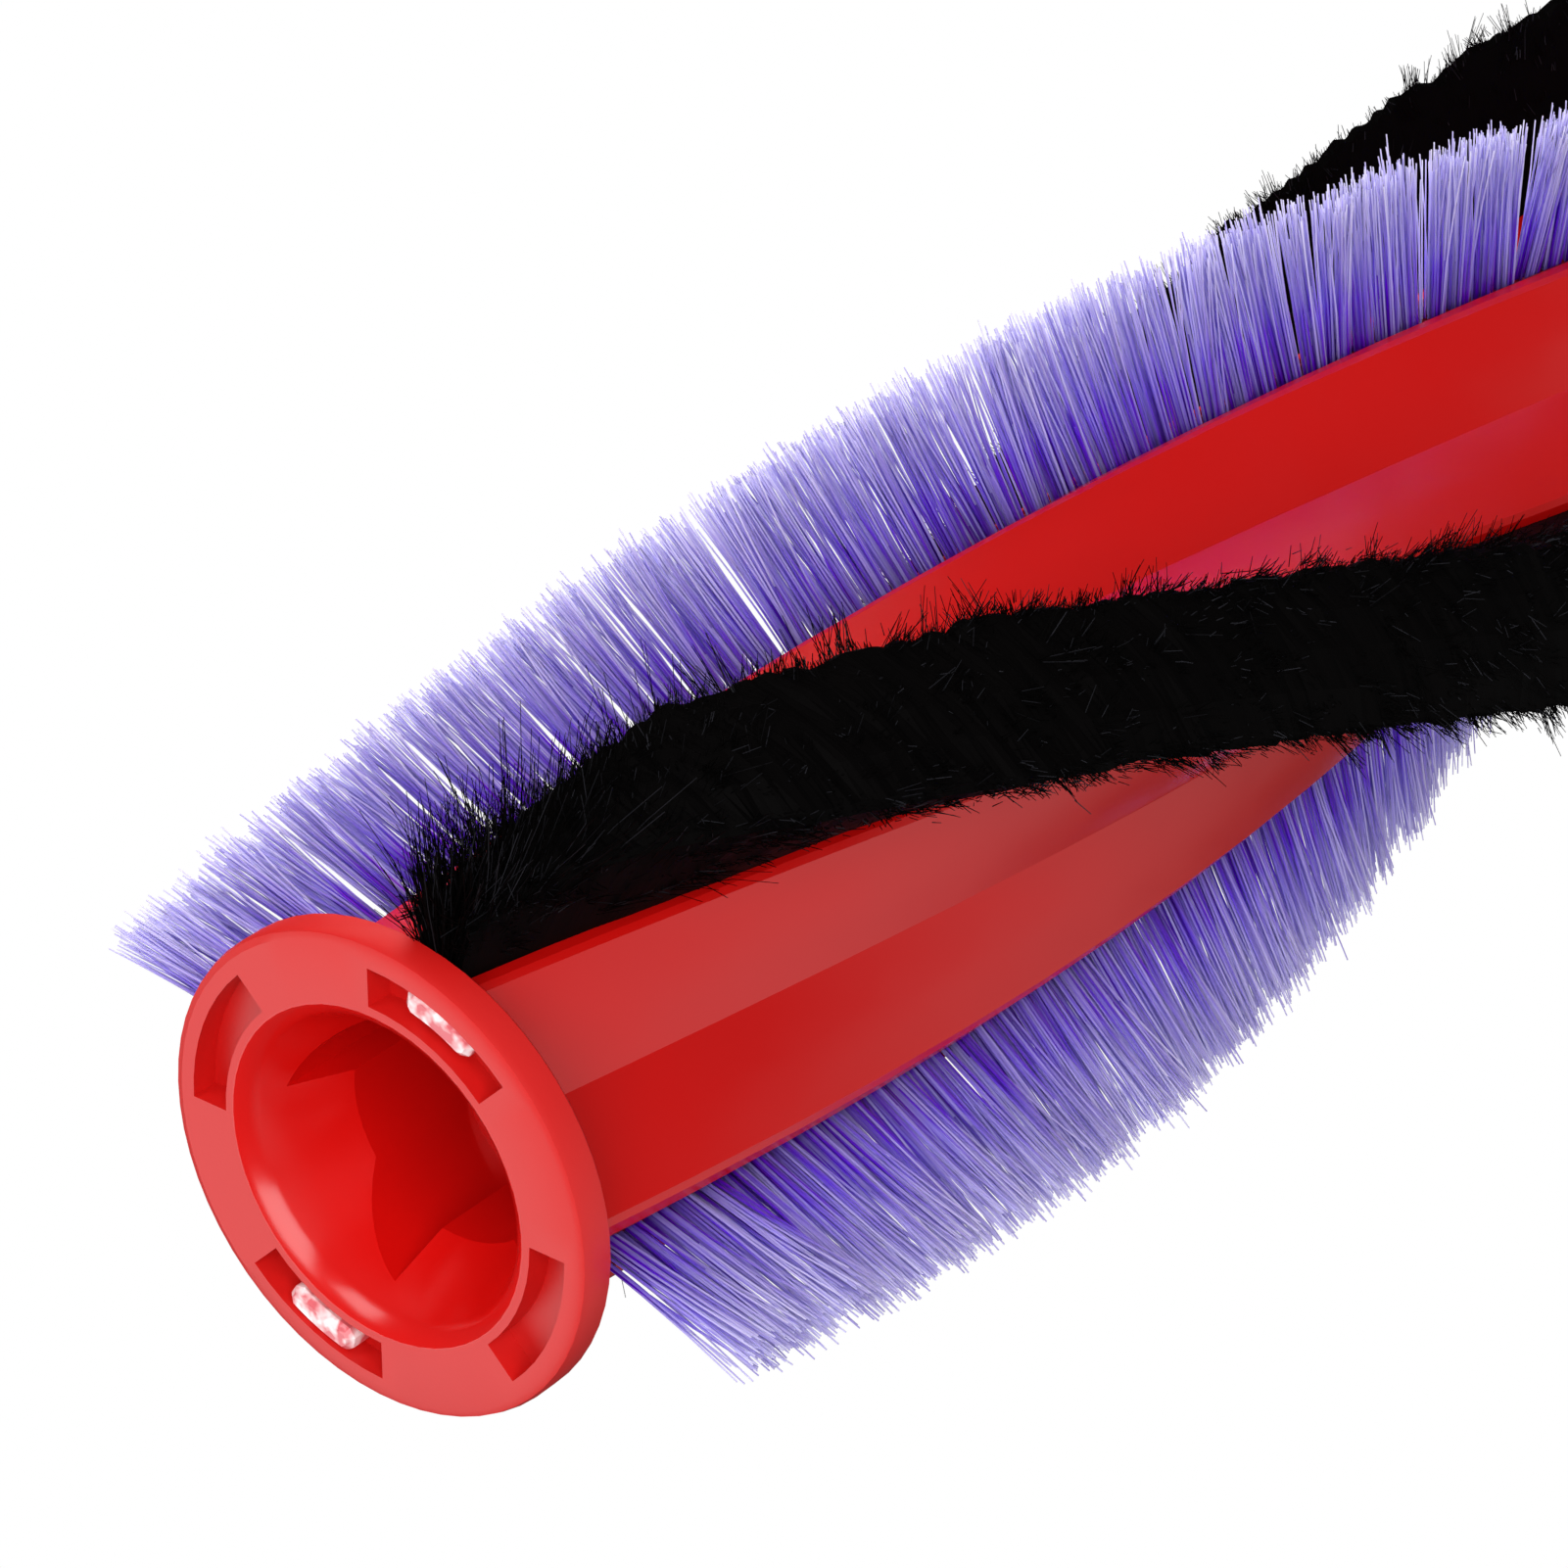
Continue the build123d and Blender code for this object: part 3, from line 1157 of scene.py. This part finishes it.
@dataclass
class Mouldings:
    """The CAD pieces that keep their shapes: body, plug, bush, strips and adhesive.

    Attributes:
        throat_radius: Radius inside which the throat is polished.
        flange_thickness: Thickness of the throat flange.
        sharp_angle: Angle in degrees between two facets from which their edge stays sharp.
        round_angle: The same on the throat flange's rounds, which have few facets.
        flat_normal: Upright part of a face's normal from which the face counts as flat.
        weld: Distance within which a copied mesh's corners are joined.
    """

    throat_radius: float = 11.65 * MM
    flange_thickness: float = 2.8 * MM
    sharp_angle: float = 18.0
    round_angle: float = 40.0
    flat_normal: float = 0.999
    weld: float = 0.001 * MM

    def dress(self, nodes: Mapping[str, bpy.types.Object], length: float) -> None:
        """Give each CAD piece its finish.

        Args:
            nodes: CAD nodes by name.
            length: Height of the roller, in metres.
        """
        flange_base = length - self.flange_thickness
        red = RedMoulding().build(flange_base, self.throat_radius)
        carrier = CarrierPlastic().build()
        tape = WovenTape().build()
        finishes = {
            "end_plug": red,
            "pivot_bush": SinteredBronze().build(),
            "bristle_carrier_1": carrier,
            "bristle_carrier_2": carrier,
            "pile_backing_1": tape,
            "pile_backing_2": tape,
            "adhesive_dabs": ClearAdhesive().build(),
        }
        for name, material in finishes.items():
            slots = nodes[name].data.materials
            slots.clear()
            slots.append(material)
            LOG.info("dressed %s in %s", name, material.name)
        body = self._smooth_copy(nodes["roller_body"], "moulded_body", flange_base, red)
        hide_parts("roller_body")
        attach(body, ROOT_BODY)

    def _smooth_copy(
        self, node: bpy.types.Object, name: str, flange_base: float, material: bpy.types.Material
    ) -> bpy.types.Object:
        """Copy a CAD mesh with its facets joined, so that its rounds and twists shade evenly.

        Args:
            node: CAD node to copy.
            name: Name of the copy.
            flange_base: Height of the throat flange's underside, in metres.
            material: Its finish.

        Returns:
            The copy, in the same place.
        """
        bm = bmesh.new()
        bm.from_mesh(node.data)
        bmesh.ops.remove_doubles(bm, verts=bm.verts, dist=self.weld)
        bm.normal_update()
        for face in bm.faces:
            face.smooth = True
        for edge in bm.edges:
            on_flange = min(vert.co.z for vert in edge.verts) > flange_base
            on_flat = any(abs(face.normal.z) > self.flat_normal for face in edge.link_faces)
            limit = self.round_angle if on_flange and not on_flat else self.sharp_angle
            edge.smooth = edge.calc_face_angle(0.0) < math.radians(limit)
        piece = place_mesh(bm, name)
        piece.data.materials.append(material)
        LOG.info("%s: %d faces", name, len(piece.data.polygons))
        return piece


@dataclass(frozen=True)
class Softbox:
    """A square area light that faces the upper part of the roller.

    Attributes:
        name: Name of the light.
        towards: Direction from the roller to the light.
        size: Its width and height, in metres.
        watts: Its power.
        mirrored: Whether polished plastic mirrors it.
    """

    name: str
    towards: tuple[float, float, float]
    size: float
    watts: float
    mirrored: bool = True

    def hang(self, aim: Vector, distance: float) -> None:
        """Put the light in the scene.

        Args:
            aim: Point that it faces.
            distance: How far from that point it hangs, in metres.
        """
        lamp = bpy.data.lights.new(self.name, "AREA")
        lamp.size = self.size
        lamp.energy = self.watts
        holder = bpy.data.objects.new(self.name, lamp)
        towards = Vector(self.towards)
        holder.location = aim + towards.normalized() * distance
        holder.rotation_euler = towards.to_track_quat("Z", "Y").to_euler()
        holder.visible_glossy = self.mirrored
        bpy.context.scene.collection.objects.link(holder)


@dataclass
class Studio:
    """White paper floor, soft light and the camera of the photograph.

    Attributes:
        floor_size: Width of the paper, in metres.
        paper_level: How brightly the surroundings light the roller.
        room_level: How brightly they mirror away from the window.
        window_level: How brightly they mirror towards it.
        backdrop_level: How brightly the camera sees them.
        window: Direction of the window.
        window_edge: Nearness to that direction, as a cosine, at which its glow begins.
        window_core: Nearness at which the glow would be full.
        light_distance: How far the softboxes hang from the roller, in metres.
        aim_share: Share of the roller's height that they face.
        softboxes: The lights.
        lens: Focal length of the camera, in millimetres.
        sensor: Width of its sensor, in millimetres.
        near_clip: Nearest distance that it sees, in metres.
        camera_offset: Its place, from the middle of the throat's face.
        camera_forward: The way it looks.
        camera_up: The way up in its picture.
    """

    floor_size: float = 6.0
    paper_level: float = 0.38
    room_level: float = 0.07
    window_level: float = 0.85
    backdrop_level: float = 1.0
    window: Vector = field(default_factory=lambda: Vector((-0.908, 0.259, -0.337)))
    window_edge: float = 0.6
    window_core: float = 1.1
    light_distance: float = 0.9
    aim_share: float = 0.7
    softboxes: tuple[Softbox, ...] = (
        Softbox("Key softbox", (0.36, -0.72, 0.58), size=0.4, watts=2.0),
        Softbox("Front softbox", (-0.5, -0.5, 0.7), size=0.7, watts=6.6),
        Softbox("Side softbox", (0.46, 0.56, 0.69), size=0.7, watts=2.4),
        Softbox("Back softbox", (0.6, -0.39, -0.7), size=0.6, watts=10.0, mirrored=False),
    )
    lens: float = 131.5
    sensor: float = 36.0
    near_clip: float = 0.01
    camera_offset: Vector = field(default_factory=lambda: Vector((-169.27, -217.09, 215.13)) * MM)
    camera_forward: Vector = field(default_factory=lambda: Vector((0.4595, 0.5602, -0.6892)))
    camera_up: Vector = field(default_factory=lambda: Vector((0.4168, -0.8213, -0.3897)))

    def build(self, length: float) -> None:
        """Set up the stage.

        Args:
            length: Height of the roller, in metres.
        """
        self._floor()
        self._world()
        for softbox in self.softboxes:
            softbox.hang(UP * length * self.aim_share, self.light_distance)
        self._camera(length)

    def _floor(self) -> None:
        """Lay the paper under the roller, seen by the camera alone."""
        bm = bmesh.new()
        bmesh.ops.create_grid(bm, x_segments=1, y_segments=1, size=self.floor_size / 2)
        floor = place_mesh(bm, "floor")
        floor.data.materials.append(StudioPaper().build())
        floor.visible_diffuse = False
        floor.visible_glossy = False
        floor.visible_transmission = False
        floor.visible_shadow = False

    def _world(self) -> None:
        """Surround the roller with even white paper, which mirrors as a dim room with a window."""
        world = bpy.data.worlds.new("White paper in a dim room")
        world.use_nodes = True
        tree = world.node_tree
        backdrop = tree.nodes["Background"]
        direction = add_node(tree, "ShaderNodeTexCoord").outputs["Generated"]
        nearness = add_node(
            tree,
            "ShaderNodeVectorMath",
            {"operation": "DOT_PRODUCT"},
            {0: direction, 1: self.window},
        )
        mirrored = add_node(
            tree,
            "ShaderNodeMapRange",
            {"interpolation_type": "SMOOTHSTEP"},
            {
                0: nearness.outputs["Value"],
                1: self.window_edge,
                2: self.window_core,
                3: self.room_level,
                4: self.window_level,
            },
        )
        path = add_node(tree, "ShaderNodeLightPath").outputs
        lit = add_node(
            tree,
            "ShaderNodeMix",
            inputs={0: path["Is Glossy Ray"], 2: self.paper_level, 3: mirrored.outputs[0]},
        )
        strength = add_node(
            tree,
            "ShaderNodeMix",
            inputs={0: path["Is Camera Ray"], 2: lit.outputs[0], 3: self.backdrop_level},
        )
        backdrop.inputs["Color"].default_value = (1, 1, 1, 1)
        tree.links.new(strength.outputs[0], backdrop.inputs["Strength"])
        bpy.context.scene.world = world
        bpy.context.scene.view_settings.view_transform = "Standard"

    def _camera(self, length: float) -> None:
        """Put the camera where the photograph was taken, turned as it was held.

        Args:
            length: Height of the roller, in metres.
        """
        data = bpy.data.cameras.new("Photo camera")
        data.lens = self.lens
        data.sensor_width = self.sensor
        data.clip_start = self.near_clip
        camera = bpy.data.objects.new("Photo camera", data)
        right = self.camera_forward.cross(self.camera_up)
        turn = Matrix((right, self.camera_up, -self.camera_forward)).transposed()
        place = UP * length + self.camera_offset
        camera.matrix_world = Matrix.Translation(place) @ turn.to_4x4()
        bpy.context.scene.collection.objects.link(camera)
        bpy.context.scene.camera = camera


def main() -> None:
    """Dress the roller, grow its bristles and set up the studio."""
    logging.basicConfig(level=logging.INFO, format="%(name)s: %(message)s")
    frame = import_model()
    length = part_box("roller_body")[1][2]
    twist = Twist(length)

    Mouldings().dress(frame["nodes"], length)

    nylon = NylonFilament().build()
    for row in (
        TuftRow("bristle_tufts_1", "stiff_bristles_1", 0.0, seed=11),
        TuftRow("bristle_tufts_2", "stiff_bristles_2", 180.0, seed=12),
    ):
        piece = row.build(twist, nylon)
        LOG.info("%s: %d faces", piece.name, len(piece.data.polygons))

    pile = SoftPile().build()
    for strip in (
        PileStrip("pile_1", "soft_pile_1", 90.0, seed=21, end_splay=0.5 * MM),
        PileStrip("pile_2", "soft_pile_2", 270.0, seed=22),
    ):
        for piece in strip.build(twist, pile):
            LOG.info("%s: %d faces", piece.name, len(piece.data.polygons))

    Studio().build(length)


if __name__ == "__main__":
    main()
